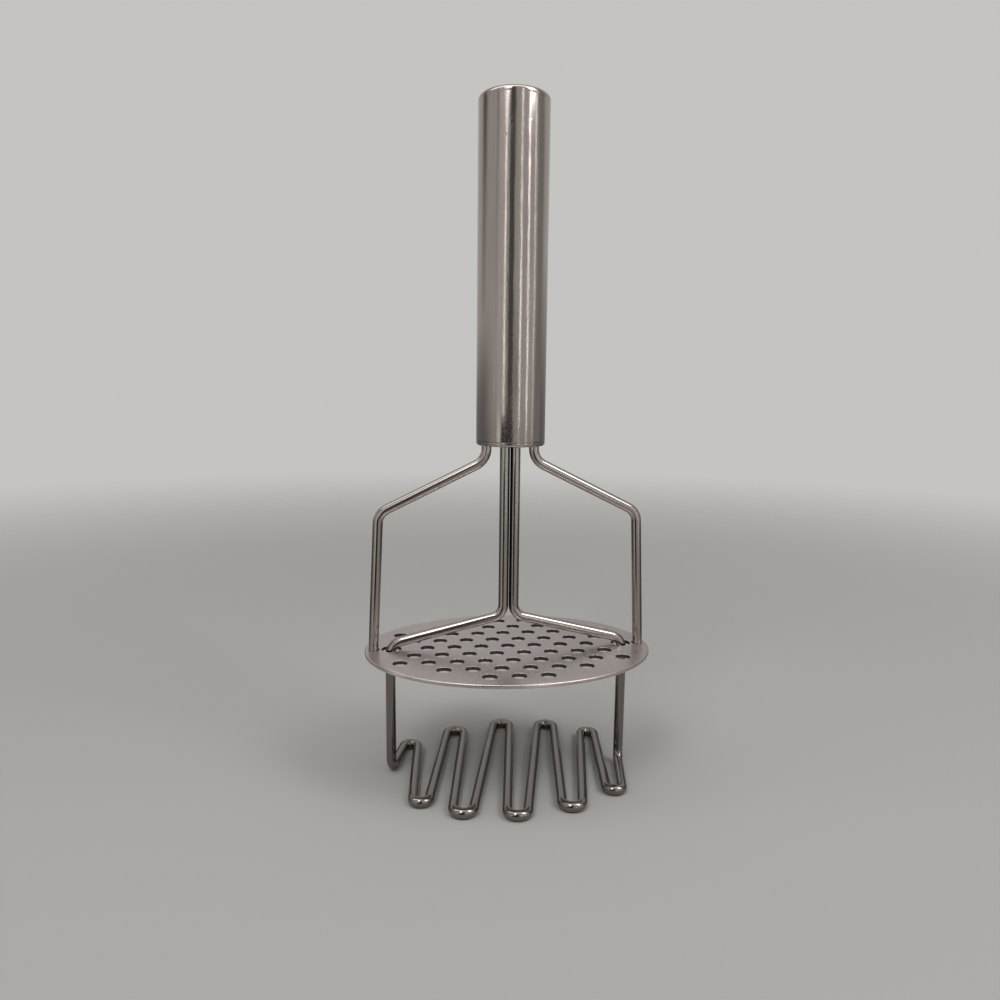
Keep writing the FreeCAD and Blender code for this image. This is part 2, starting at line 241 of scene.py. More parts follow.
class MasherStage(PropertyGroup):
    """Floor, light and camera."""

    floor_colour: colour("Floor", "Colour of the floor", (0.41, 0.398, 0.382))
    backdrop_colour: colour("Backdrop", "Colour behind the floor", (0.56, 0.55, 0.535))
    floor_radius: length("Floor radius", "How far the floor reaches", 3.0)
    sky_strength: FloatProperty(
        name="Sky strength", description="Even light from all sides", default=0.35, min=0
    )
    lamp_power: FloatProperty(
        name="Lamp power", description="Power of the soft lamps together", default=15.3, min=0, unit="POWER"
    )
    lamp_distance: length("Lamp distance", "How far the lamps stand from the masher", 1.3)
    camera_place: FloatVectorProperty(
        name="Camera place", description="Where the camera stands", default=(-0.039947, -0.305739, 0.159018),
        size=3, precision=6, subtype="TRANSLATION", unit="LENGTH",
    )
    camera_pitch: FloatProperty(
        name="Camera pitch", description="How far the camera looks down", default=0.1463, subtype="ANGLE"
    )
    camera_yaw: FloatProperty(
        name="Camera yaw", description="How far the camera looks to the right of +Y", default=0.1174,
        subtype="ANGLE",
    )
    camera_roll: FloatProperty(
        name="Camera roll", description="Turn of the camera about its view", default=0.0105, subtype="ANGLE"
    )
    camera_lens: FloatProperty(
        name="Lens", description="Focal length on a 36 mm sensor, in millimetres", default=28.08,
        unit="CAMERA",
    )


# Meshes


def finished_piece(mesh, name, body, slot, materials, *nodes):
    """The mesh as a shown piece that rides on its body and stands for its nodes."""
    for face in mesh.faces:
        face.smooth = True
    for edge in mesh.edges:
        edge.smooth = edge.calc_face_angle(0) < SHARP_ANGLE
    data = bpy.data.meshes.new(name)
    mesh.to_mesh(data)
    mesh.free()
    for material in materials:
        data.materials.append(material)
    piece = bpy.data.objects.new(name, data)
    bpy.context.scene.collection.objects.link(piece)
    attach(piece, body)
    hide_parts(*nodes)
    return piece


class DrawnWire:
    """Round wire: a ring that is pulled along straight runs and spun round bends.

    The attribute "straight" keeps each vertex's place on the wire before it was bent.
    """

    def __init__(self, start, heading, sizes):
        self.mesh = bmesh.new()
        self.straight = self.mesh.verts.layers.float_vector.new("straight")
        self.radius = sizes.wire_diameter / 2
        self.bend_step = sizes.bend_step
        self.place = Vector(start)
        self.heading = Vector(heading).normalized()
        self.drawn = 0.0
        made = bmesh.ops.create_circle(self.mesh, segments=sizes.wire_sides, radius=self.radius)
        self.ring = made["verts"]
        for vert in self.ring:
            vert[self.straight] = vert.co
        turn = UP.rotation_difference(self.heading).to_matrix().to_4x4()
        bmesh.ops.transform(self.mesh, matrix=Matrix.Translation(self.place) @ turn, verts=self.ring)
        self.close_end()

    def ring_edges(self):
        """The edges round the newest ring."""
        ring = set(self.ring)
        return list({edge for vert in self.ring for edge in vert.link_edges if ring.issuperset(edge.verts)})

    def close_end(self):
        bmesh.ops.edgeloop_fill(self.mesh, edges=self.ring_edges())

    def take_ring(self, geometry, distance):
        """Goes on with the newest ring, which lies the given distance further along the wire."""
        self.ring = [item for item in geometry if isinstance(item, bmesh.types.BMVert)]
        self.drawn += distance
        for vert in self.ring:
            vert[self.straight].z = self.drawn

    def pull(self, step, widen=1.0):
        """A straight run, whose far end may be wider or narrower."""
        made = bmesh.ops.extrude_edge_only(self.mesh, edges=self.ring_edges())
        self.take_ring(made["geom"], step.length)
        bmesh.ops.translate(self.mesh, vec=step, verts=self.ring)
        self.place += step
        if widen != 1.0:
            here = Matrix.Translation(-self.place)
            bmesh.ops.scale(self.mesh, vec=Vector((widen, widen, widen)), space=here, verts=self.ring)

    def pull_to(self, point):
        self.pull(Vector(point) - self.place)

    def bend(self, centre, axis, angle):
        """A bend about an axis through a centre, in even steps."""
        steps = max(2, math.ceil(angle / self.bend_step))
        stride = angle * (self.place - centre).length / steps
        for _ in range(steps):
            made = bmesh.ops.spin(
                self.mesh, geom=self.ring + self.ring_edges(), cent=centre, axis=axis, angle=angle / steps,
                steps=1,
            )
            self.take_ring(made["geom_last"], stride)
        turn = Matrix.Rotation(angle, 3, axis)
        self.place = centre + turn @ (self.place - centre)
        self.heading = turn @ self.heading

    def turn_corner(self, corner, towards, radius):
        """A straight run up to a corner and a bend there, so that the wire then heads towards a point."""
        out = (Vector(towards) - Vector(corner)).normalized()
        axis = self.heading.cross(out).normalized()
        angle = self.heading.angle(out)
        self.pull_to(Vector(corner) - self.heading * radius * math.tan(angle / 2))
        self.bend(self.place + axis.cross(self.heading) * radius, axis, angle)

    def head_over(self, overhang, height):
        """A headed end: a step out to a wider ring, and a rounded edge."""
        wide = 1 + overhang / self.radius
        self.pull(self.heading * 0, wide)
        self.pull(self.heading * height / 2)
        reach = self.radius * wide
        for step in range(HEAD_STEPS):
            before, after = (math.pi / 2 * count / HEAD_STEPS for count in (step, step + 1))
            wider, narrower = (reach - height / 2 * (1 - math.cos(angle)) for angle in (before, after))
            rise = height / 2 * (math.sin(after) - math.sin(before))
            self.pull(self.heading * rise, narrower / wider)

    def finish(self, name, material, *nodes, body="masher"):
        """Closes the wire and shows it as a piece."""
        self.close_end()
        bmesh.ops.recalc_face_normals(self.mesh, faces=self.mesh.faces)
        finished_piece(self.mesh, name, body, "wire_steel", [material], *nodes)


def mirrored(point, side):
    """A point of the right side on the side that is asked for."""
    return Vector((point[0] * side, point[1], point[2]))


# Finishes


class Finish:
    """A node material that is put together step by step."""

    def __init__(self, name):
        self.material = bpy.data.materials.new(name)
        self.material.use_nodes = True
        self.tree = self.material.node_tree
        self.tree.nodes.clear()
        self.surface = self.add("ShaderNodeBsdfPrincipled")
        self.output = self.add("ShaderNodeOutputMaterial")
        self.show(self.surface)

    def show(self, shader):
        """Makes a shader the one that the material shows."""
        self.set(self.output.inputs["Surface"], shader.outputs[0])

    def show_blend(self, factor, first, second):
        """Shows the first shader where the factor is 0 and the second where it is 1."""
        inputs = {0: factor, 1: first.outputs[0], 2: second.outputs[0]}
        self.show(self.add("ShaderNodeMixShader", inputs))

    def add(self, kind, inputs=None, **settings):
        """A node with its settings and with its sockets set or linked."""
        node = self.tree.nodes.new(kind)
        for key, value in settings.items():
            setattr(node, key, value)
        for key, value in (inputs or {}).items():
            self.set(node.inputs[key], value)
        return node

    def set(self, socket, value):
        """Links a socket to another one, or gives it a number, vector or colour."""
        if isinstance(value, bpy.types.NodeSocket):
            self.tree.links.new(value, socket)
        elif socket.type == "RGBA":
            socket.default_value = (*value, 1)
        else:
            socket.default_value = value

    def give(self, **values):
        """Sets the surface's own sockets by their names."""
        for key, value in values.items():
            self.set(self.surface.inputs[key.replace("_", " ")], value)

    def object_place(self):
        return self.add("ShaderNodeTexCoord").outputs["Object"]

    def straight_place(self):
        return self.add("ShaderNodeAttribute", attribute_name="straight").outputs["Vector"]

    def noise(self, place, stretch, detail=3.0, roughness=0.55):
        """Noise with so many lumps to the metre along each axis."""
        mapping = self.add("ShaderNodeMapping", {"Vector": place, "Scale": stretch})
        inputs = {"Vector": mapping.outputs["Vector"], "Scale": 1.0, "Detail": detail, "Roughness": roughness}
        return self.add("ShaderNodeTexNoise", inputs).outputs["Fac"]

    def between(self, value, low, high, start, end):
        """The value's span from low to high, moved to run from start to end."""
        inputs = {"Value": value, "From Min": low, "From Max": high, "To Min": start, "To Max": end}
        return self.add("ShaderNodeMapRange", inputs).outputs["Result"]

    def math(self, operation, first, second):
        node = self.add("ShaderNodeMath", operation=operation)
        self.set(node.inputs[0], first)
        self.set(node.inputs[1], second)
        return node.outputs["Value"]

    def vector(self, operation, *vectors):
        """What a vector operation gives, which is a number or a vector."""
        node = self.add("ShaderNodeVectorMath", dict(enumerate(vectors)), operation=operation)
        is_number = operation in ("LENGTH", "DISTANCE", "DOT_PRODUCT")
        return node.outputs["Value" if is_number else "Vector"]

    def plus(self, value, *parts):
        """The value with each part added at its weight."""
        for part, weight in parts:
            value = self.math("ADD", value, self.math("MULTIPLY", part, weight))
        return value

    def mix(self, factor, first, second):
        """The first colour where the factor is 0 and the second where it is 1."""
        node = self.add("ShaderNodeMix", data_type="RGBA")
        self.set(node.inputs[0], factor)
        self.set(node.inputs[6], first)
        self.set(node.inputs[7], second)
        return node.outputs[2]

    def bump(self, height, distance):
        """A relief whose heights from 0 to 1 span the distance in metres."""
        inputs = {"Height": height, "Distance": distance, "Strength": 1.0}
        return self.add("ShaderNodeBump", inputs).outputs["Normal"]


def toned(base, tone):
    """A colour made darker or lighter."""
    return tuple(min(1.0, channel * tone) for channel in base)


def spot(finish, place, middle, radius):
    """1 in the middle of a spot, falling to 0 at its radius."""
    away = finish.vector("DISTANCE", place, middle)
    return finish.between(away, radius * 0.2, radius, 1, 0)


def handle_spot(finish, place, around, height, radius):
    """A spot on the handle, so many degrees round from the front."""
    turn = math.radians(around)
    middle = (HANDLE_RADIUS * math.sin(turn), -HANDLE_RADIUS * math.cos(turn), height)
    return spot(finish, place, middle, radius)


def handle_steel(colours):
    """Lengthwise polished steel with grip wear, small dents and speckled patches."""
    finish = Finish("handle_satin_steel")
    place = finish.object_place()
    lines = finish.noise(place, (1400, 1400, 18), 4)
    strokes = finish.noise(place, (1300, 1300, 260), 3)
    clouds = finish.noise(place, (90, 90, 28), 3)
    waves = finish.noise(place, (110, 110, 45), 2)
    speckle = finish.noise(place, (1700, 1700, 1500), 3, 0.7)
    patch = finish.between(finish.noise(place, (60, 60, 26), 2), 0.58, 0.76, 0, 1)
    dents = 0.0
    for dent in DENTS:
        dents = finish.math("MAXIMUM", dents, handle_spot(finish, place, *dent))
    for worn_spot in WORN_SPOTS:
        patch = finish.math("MAXIMUM", patch, handle_spot(finish, place, *worn_spot))
    tone = finish.mix(clouds, toned(colours.handle_colour, 0.86), toned(colours.handle_colour, 1.14))
    tone = finish.mix(finish.between(lines, 0.3, 0.75, 0, 0.3), tone, toned(colours.handle_colour, 0.62))
    worn = finish.math("MULTIPLY", patch, finish.between(speckle, 0.45, 0.7, 0, 1))
    blur = colours.handle_roughness
    rough = finish.between(lines, 0.25, 0.75, blur * 0.75, blur * 1.35)
    rough = finish.plus(rough, (worn, 0.2))
    height = finish.plus(waves, (lines, 0.16), (strokes, 0.28), (worn, 0.09), (dents, -0.4))
    finish.give(Metallic=1.0, Base_Color=tone, Roughness=rough, Normal=finish.bump(height, 0.00007))
    return finish.material


def drawn_steel(name, base, roughness, scuffs, shade_height=0.0, seam=0.0):
    """Drawn wire: fine lines along the wire, with dull scuffs.

    It is painted darker below a given height, as the shade under the plate, and in a seam along the middle,
    as the shade between two wires lying side by side.
    """
    finish = Finish(name)
    place = finish.straight_place()
    lines = finish.noise(place, (1500, 1500, 7), 3)
    clouds = finish.noise(place, (180, 180, 60), 3)
    specks = finish.noise(place, (1300, 1300, 700), 3, 0.65)
    dull = finish.math(
        "MULTIPLY", finish.between(clouds, 0.52, 0.72, 0, 1), finish.between(specks, 0.54, 0.7, 0, scuffs)
    )
    tone = finish.mix(clouds, toned(base, 0.92), toned(base, 1.08))
    tone = finish.mix(finish.between(lines, 0.4, 0.75, 0, 0.15), tone, toned(base, 0.6))
    tone = finish.mix(finish.math("MULTIPLY", dull, 0.5), tone, toned(base, 0.7))
    rough = finish.between(lines, 0.25, 0.75, roughness * 0.88, roughness * 1.15)
    rough = finish.plus(rough, (dull, 0.1))
    if shade_height:
        axes = finish.add("ShaderNodeSeparateXYZ", {"Vector": finish.object_place()}).outputs
        # Painted shade: below the plate's height the wire is made darker, as the shade under the plate.
        painted_low_shade = finish.between(axes["Z"], shade_height * 0.9, shade_height, 0.8, 0)
        tone = finish.mix(painted_low_shade, tone, toned(base, 0.5))
        # Painted shade: a near-black seam along the middle, where the two rods lie side by side and shade
        # each other.
        seam_shade = finish.between(finish.math("ABSOLUTE", axes["X"], 0), seam * 0.35, seam / 2, 1, 0)
        tone = finish.mix(seam_shade, tone, toned(base, 0.06))
        rough = finish.plus(rough, (seam_shade, 0.5))
    height = finish.plus(lines, (dull, -0.3))
    finish.give(Metallic=1.0, Base_Color=tone, Roughness=rough, Normal=finish.bump(height, 0.000003))
    return finish.material


def plate_steel(colours):
    """Rolled sheet: fine grain along the rolling, cloudy tone, light scratches and a rim rubbed in places."""
    finish = Finish("plate_rolled_steel")
    place = finish.object_place()
    grain = finish.noise(place, (1600, 60, 400), 4)
    clouds = finish.noise(place, (55, 55, 55), 4)
    specks = finish.noise(place, (900, 900, 900), 3, 0.65)
    scratch = finish.between(finish.noise(place, (45, 1300, 200), 2), 0.68, 0.74, 0, 1)
    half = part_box("mashing_plate")[1]
    oval = finish.add("ShaderNodeMapping", {"Vector": place, "Scale": (1 / half.x, 1 / half.y, 0)})
    outward = finish.vector("LENGTH", oval.outputs["Vector"])
    rubbed = 0.0
    for around, radius in RUBBED_STRETCHES:
        turn = math.radians(around)
        middle = (half.x * math.sin(turn), -half.y * math.cos(turn), half.z)
        rubbed = finish.math("MAXIMUM", rubbed, spot(finish, place, middle, radius))
    rubbed = finish.math("MULTIPLY", rubbed, finish.between(outward, 0.965, 0.99, 0, 1))
    tone = finish.mix(clouds, toned(colours.plate_colour, 0.86), toned(colours.plate_colour, 1.12))
    tone = finish.mix(finish.between(grain, 0.35, 0.75, 0, 0.25), tone, toned(colours.plate_colour, 0.7))
    tone = finish.mix(finish.math("MULTIPLY", scratch, 0.35), tone, toned(colours.plate_colour, 1.3))
    tone = finish.mix(rubbed, tone, toned(colours.plate_colour, 1.35))
    rough = finish.between(clouds, 0.3, 0.7, colours.plate_roughness * 0.82, colours.plate_roughness * 1.2)
    rough = finish.math("ADD", rough, finish.between(specks, 0.4, 0.7, -0.03, 0.05))
    rough = finish.plus(rough, (rubbed, -0.12))
    height = finish.plus(finish.math("MULTIPLY", grain, 0.5), (specks, 0.4), (scratch, -0.5))
    finish.give(Metallic=1.0, Base_Color=tone, Roughness=rough, Normal=finish.bump(height, 0.000006))
    return finish.material


def inner_steel(name, base, roughness):
    """Steel with a fine even grain, for the holes' sheared walls, whose dark colour is partly painted shade,
    and for the pieces inside the handle.
    """
    finish = Finish(name)
    place = finish.object_place()
    clouds = finish.noise(place, (300, 300, 300), 4)
    lines = finish.noise(place, (2000, 2000, 300), 3)
    tone = finish.mix(clouds, toned(base, 0.8), toned(base, 1.15))
    rough = finish.between(lines, 0.3, 0.7, roughness * 0.8, roughness * 1.25)
    finish.give(Metallic=1.0, Base_Color=tone, Roughness=rough, Normal=finish.bump(lines, 0.00002))
    return finish.material


def nylon(colours):
    """Moulded nylon with a fine matt grain."""
    finish = Finish("moulded_nylon")
    place = finish.object_place()
    grain = finish.noise(place, (2600, 2600, 2600), 3)
    clouds = finish.noise(place, (120, 120, 120), 3)
    tone = finish.mix(clouds, toned(colours.nylon_colour, 0.92), toned(colours.nylon_colour, 1.06))
    rough = finish.between(grain, 0.3, 0.7, 0.42, 0.58)
    finish.give(Base_Color=tone, Roughness=rough, Normal=finish.bump(grain, 0.00003))
    return finish.material


def floor_matt(base, reach):
    """A plain matt colour that fades out with the distance from the middle."""
    finish = Finish("floor_matt")
    finish.give(Base_Color=base, Roughness=0.9, Specular_IOR_Level=0.1)
    distance = finish.vector("LENGTH", finish.object_place())
    inputs = {"Value": distance, "From Min": reach * 0.08, "From Max": reach * 0.4}
    fade = finish.add("ShaderNodeMapRange", inputs, interpolation_type="SMOOTHSTEP").outputs["Result"]
    finish.show_blend(fade, finish.surface, finish.add("ShaderNodeBsdfTransparent"))
    return finish.material


def glowing(name, middle, wide, soft, low, high, low_level, high_level):
    """A grey for a studio card: one level at its lower edge, another at its upper edge, and soft ends."""
    finish = Finish(name)
    place = finish.object_place()
    height = finish.add("ShaderNodeSeparateXYZ", {"Vector": place}).outputs["Z"]
    level = finish.between(height, low, high, low_level, high_level)
    glow = finish.add("ShaderNodeEmission", {"Color": CARD_WHITE, "Strength": level})
    outward = finish.vector("NORMALIZE", finish.vector("MULTIPLY", place, (1, 1, 0)))
    facing = finish.vector("DOT_PRODUCT", outward, middle)
    ends = [math.cos(math.radians(angle)) for angle in (wide / 2, wide / 2 - soft)]
    solid = finish.between(facing, *ends, 0, 1)
    finish.show_blend(solid, finish.add("ShaderNodeBsdfTransparent"), glow)
    return finish.material


# Operators


class MASHER_OT_handle(Operator):
    """Draw the handle's tube and finish its two caps"""

    bl_idname = "masher.handle"
    bl_label = "Handle"

    def execute(self, context):
        sizes = context.scene.masher_sizes
        material = handle_steel(context.scene.masher_finish)
        low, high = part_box("handle_tube")
        outside = high.x
        inside = outside - sizes.tube_wall
        mesh = bmesh.new()
        places = ((inside, low.z), (outside, low.z), (outside, high.z), (inside, high.z))
        corners = [mesh.verts.new((radius, 0, height)) for radius, height in places]
        for first, second in zip(corners, corners[1:] + corners[:1]):
            mesh.edges.new((first, second))
        for corner, edge in ((corners[1], sizes.tube_low_edge), (corners[2], sizes.tube_top_edge)):
            bmesh.ops.bevel(
                mesh, geom=[corner], offset=edge, segments=TUBE_EDGE_STEPS, profile=0.5, affect="VERTICES",
                material=-1,
            )
        bmesh.ops.spin(
            mesh, geom=mesh.verts[:] + mesh.edges[:], cent=(0, 0, 0), axis=UP, angle=math.tau,
            steps=sizes.tube_steps, use_merge=True,
        )
        bmesh.ops.remove_doubles(mesh, verts=mesh.verts, dist=MERGE_DISTANCE)
        bmesh.ops.recalc_face_normals(mesh, faces=mesh.faces)
        finished_piece(mesh, "handle_sleeve", "press_head", "handle_steel", [material], "handle_tube")
        for node in ("top_cap", "end_cap"):
            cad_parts[node].material_slots[0].material = material
        return {"FINISHED"}


class MASHER_OT_frame_rods(Operator):
    """Bend the two frame rods from the handle to the plate, with headed feet"""

    bl_idname = "masher.frame_rods"
    bl_label = "Frame rods"

    def execute(self, context):
        sizes = context.scene.masher_sizes
        finish = context.scene.masher_finish
        material = drawn_steel("frame_drawn_steel", finish.wire_colour, finish.wire_roughness, 0.5)
        plate_low, plate_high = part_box("mashing_plate")
        rod_low, rod_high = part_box("frame_rod_right")
        exit_x = rod_low.x + sizes.wire_diameter / 2
        foot_x = rod_high.x - sizes.wire_diameter / 2 - sizes.frame_head_overhang
        foot = Vector((foot_x, 0, plate_high.z))
        shoulder = Vector((foot_x - sizes.frame_splay, 0, sizes.frame_shoulder_height))
        corner = Vector((exit_x, 0, sizes.frame_corner_height))
        foot_end = foot + (foot - shoulder).normalized() * (plate_high.z - plate_low.z)
        for name, side in SIDES:
            start = mirrored((exit_x, 0, rod_high.z), side)
            wire = DrawnWire(start, -UP, sizes)
            wire.turn_corner(mirrored(corner, side), mirrored(shoulder, side), sizes.frame_corner_bend)
            wire.turn_corner(mirrored(shoulder, side), mirrored(foot, side), sizes.frame_shoulder_bend)
            wire.pull_to(mirrored(foot_end, side))
            wire.head_over(sizes.frame_head_overhang, sizes.frame_head_height)
            wire.finish(f"frame_wire_{name}", material, f"frame_rod_{name}", body="press_head")
        return {"FINISHED"}


class MASHER_OT_press_rods(Operator):
    """Bend the two press rods down from the handle, out along their arms and down their legs"""

    bl_idname = "masher.press_rods"
    bl_label = "Press rods"

    def execute(self, context):
        sizes = context.scene.masher_sizes
        finish = context.scene.masher_finish
        plate_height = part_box("mashing_plate")[1].z
        # Below the plate's height the rods are painted darker, as shade under the plate.
        material = drawn_steel(
            "rod_drawn_steel", finish.wire_colour, finish.wire_roughness, 0.6, plate_height, sizes.rod_seam
        )
        low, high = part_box("press_rod_right")
        rod_x = low.x + sizes.wire_diameter / 2
        leg_x = high.x - sizes.wire_diameter / 2
        split = Vector((rod_x, 0, sizes.rod_split_height))
        knee = Vector((leg_x, 0, sizes.leg_bend_height))
        joint = Vector((leg_x, 0, low.z))
        for name, side in SIDES:
            wire = DrawnWire(mirrored((rod_x, 0, high.z), side), -UP, sizes)
            wire.turn_corner(mirrored(split, side), mirrored(knee, side), sizes.rod_split_bend)
            wire.turn_corner(mirrored(knee, side), mirrored(joint, side), sizes.leg_bend)
            wire.pull_to(mirrored(joint, side))
            wire.finish(f"press_wire_{name}", material, f"press_rod_{name}")
        return {"FINISHED"}


class MASHER_OT_wave(Operator):
    """Bend the wave back and forth on the work surface, from one leg to the other"""

    bl_idname = "masher.wave"
    bl_label = "Wave"

    def execute(self, context):
        sizes = context.scene.masher_sizes
        finish = context.scene.masher_finish
        # The wave's darker colour is painted shade from the plate above it.
        material = drawn_steel("wave_scuffed_steel_painted_shade", finish.wave_colour_painted_shade, finish.wave_roughness, 0.9)
        low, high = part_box("wave_grid")
        radius = sizes.wire_diameter / 2
        leg_x = high.x - radius
        level = low.z + radius
        left, right = (Vector((side * leg_x, 0, level)) for _, side in SIDES)
        half_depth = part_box("mashing_plate")[1].y
        stops = [(left, 0, 1), *self.turns(sizes, leg_x, half_depth, level), (right, 0, 1)]
        runs = [self.run(first, second) for first, second in zip(stops, stops[1:])]
        wire = DrawnWire((-leg_x, 0, high.z), -UP, sizes)
        wire.turn_corner(left, runs[0][1], sizes.foot_bend)
        for (centre, _, sense), (_, arrival), (departure, onward) in zip(stops[1:-1], runs, runs[1:]):
            wire.pull_to(arrival)
            before, after = arrival - centre, departure - centre
            angle = math.atan2(before.cross(after).z, before.dot(after)) * sense % math.tau
            wire.bend(centre, UP * sense, angle)
        wire.turn_corner(right, right + UP, sizes.foot_bend)
        wire.pull_to((leg_x, 0, high.z))
        wire.finish("wave_wire", material, "wave_grid")
        return {"FINISHED"}

    def turns(self, sizes, leg_x, half_depth, level):
        """Centre, radius and sense of each turn, where sense 1 is anticlockwise from above."""
        last = len(BACK_TURNS) - 1
        for index, (back, front) in enumerate(zip(BACK_TURNS, FRONT_TURNS)):
            radius = sizes.wave_end_turn if index in (0, last) else sizes.wave_turn
            for (along, reach), sense in ((back, -1), (front, 1)):
                yield Vector((along * leg_x, sense * (radius - reach * half_depth), level)), radius, sense

    def run(self, first, second):
        """Where the straight run leaves one turn and meets the next."""
        centre, radius, sense = first
        next_centre, next_radius, next_sense = second
        span = next_centre - centre
        shift = next_sense * next_radius - sense * radius
        heading = math.atan2(span.y, span.x) - math.asin(shift / span.length)
        outward = Vector((math.sin(heading), -math.cos(heading), 0))
        return centre + outward * sense * radius, next_centre + outward * next_sense * next_radius


class MASHER_OT_plate(Operator):
    """Punch the oval plate, with rows of small holes and the holes of the legs and feet"""

    bl_idname = "masher.plate"
    bl_label = "Plate"

    def execute(self, context):
        sizes = context.scene.masher_sizes
        finish = context.scene.masher_finish
        # The second material lines the holes: dull sheared steel painted dark as the shade inside them.
        materials = [plate_steel(finish), inner_steel("sheared_steel_painted_shade", finish.sheared_and_shaded_colour, 0.5)]
        low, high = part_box("mashing_plate")
        mesh = bmesh.new()
        oval = Matrix.Diagonal((high.x, high.y, 1, 1))
        bmesh.ops.create_circle(mesh, segments=RIM_STEPS, radius=1, matrix=oval)
        for x, y, width in self.holes(sizes, high):
            place = Matrix.Translation((x, y, 0))
            bmesh.ops.create_circle(mesh, segments=HOLE_STEPS, radius=width / 2, matrix=place)
        bmesh.ops.triangle_fill(mesh, edges=mesh.edges[:], use_beauty=True, normal=UP)
        made = bmesh.ops.extrude_face_region(mesh, geom=mesh.faces[:], use_keep_orig=True)
        raised = [item for item in made["geom"] if isinstance(item, bmesh.types.BMVert)]
        bmesh.ops.translate(mesh, vec=UP * (high.z - low.z), verts=raised)
        bmesh.ops.translate(mesh, vec=UP * low.z, verts=mesh.verts)
        bmesh.ops.recalc_face_normals(mesh, faces=mesh.faces)
        edges = [edge for edge in mesh.edges if edge.calc_face_angle(0) > PUNCHED_ANGLE]
        inside = oval.inverted()
        rims = [edge for edge in edges if (inside @ edge.verts[0].co).xy.length > RIM_SHARE]
        holes = [edge for edge in edges if edge not in set(rims)]
        for group, edge in ((holes, sizes.hole_edge), (rims, sizes.plate_edge)):
            bmesh.ops.bevel(
                mesh, geom=group, offset=edge, segments=PLATE_EDGE_STEPS, profile=0.5, affect="EDGES",
                material=-1,
            )
        for face in mesh.faces:
            inner = (inside @ face.calc_center_median()).xy.length < LINING_SHARE
            face.material_index = int(inner and abs(face.normal.z) < 0.5)
        piece = finished_piece(
            mesh, "perforated_plate", "press_head", "plate_steel", materials, "mashing_plate"
        )
        piece.modifiers.new("Flat faces", "WEIGHTED_NORMAL").keep_sharp = True
        return {"FINISHED"}

    def holes(self, sizes, corner):
        """Place and width of every hole: staggered rows clear of the rim and the legs, then legs and feet."""
        leg_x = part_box("press_rod_right")[1].x - sizes.wire_diameter / 2
        foot_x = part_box("frame_rod_right")[1].x - sizes.wire_diameter / 2 - sizes.frame_head_overhang
        leg_hole_x = leg_x - sizes.leg_hole_inset
        length_limit = corner.x - sizes.hole_rim_margin
        depth_limit = corner.y - sizes.hole_rim_margin
        leg_limit = (sizes.leg_hole_diameter + sizes.hole_diameter) / 2 + sizes.hole_web
        rows = math.floor(depth_limit / sizes.row_pitch)
        columns = math.floor(length_limit / sizes.hole_pitch)
        for row in range(-rows, rows + 1):
            for column in range(-columns - 1, columns + 1):
                x = (column + row % 2 / 2) * sizes.hole_pitch
                y = row * sizes.row_pitch
                clear_of_legs = math.hypot(abs(x) - leg_hole_x, y) >= leg_limit
                if math.hypot(x / length_limit, y / depth_limit) <= 1 and clear_of_legs:
                    yield x, y, sizes.hole_diameter
        for _, side in SIDES:
            yield side * leg_hole_x, 0, sizes.leg_hole_diameter
            yield side * (foot_x - sizes.foot_hole_inset), 0, sizes.foot_hole_diameter


class MASHER_OT_inside(Operator):
    """Wind the spring and finish the pieces that hold it inside the handle"""

    bl_idname = "masher.inside"
    bl_label = "Inside the handle"

    def execute(self, context):
        finish = context.scene.masher_finish
        spring_steel = inner_steel("spring_wire_steel", finish.spring_colour, 0.3)
        self.wind_spring(context.scene.masher_sizes, spring_steel)
        moulded = nylon(finish)
        materials = {
            "spring_plate": inner_steel("disc_turned_steel", finish.disc_colour, 0.35),
            "guide_block": moulded,
            "spring_seat": moulded,
        }
        for node, material in materials.items():
            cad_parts[node].material_slots[0].material = material
        return {"FINISHED"}

    def wind_spring(self, sizes, material):
        """A ring of wire screwed up about the handle's axis, which shortens as the handle comes down."""
        low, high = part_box("return_spring")
        wire = sizes.spring_wire_diameter / 2
        start = Matrix.Translation((high.x - wire, 0, low.z + wire)) @ Matrix.Rotation(math.pi / 2, 4, "X")
        steps = sizes.spring_turns * sizes.spring_turn_steps
        rise = high.z - low.z - sizes.spring_wire_diameter
        mesh = bmesh.new()
        bmesh.ops.create_circle(mesh, segments=sizes.spring_wire_sides, radius=wire, matrix=start)
        ends = [mesh.edges[:]]
        made = bmesh.ops.spin(
            mesh, geom=mesh.verts[:] + mesh.edges[:], cent=(0, 0, 0), axis=UP, dvec=UP * rise / steps,
            angle=math.tau * sizes.spring_turns, steps=steps,
        )
        ends.append([item for item in made["geom_last"] if isinstance(item, bmesh.types.BMEdge)])
        for edges in ends:
            bmesh.ops.edgeloop_fill(mesh, edges=edges)
        bmesh.ops.recalc_face_normals(mesh, faces=mesh.faces)
        spring = finished_piece(
            mesh, "wound_spring", "press_head", "spring_steel", [material], "return_spring"
        )
        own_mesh(spring)


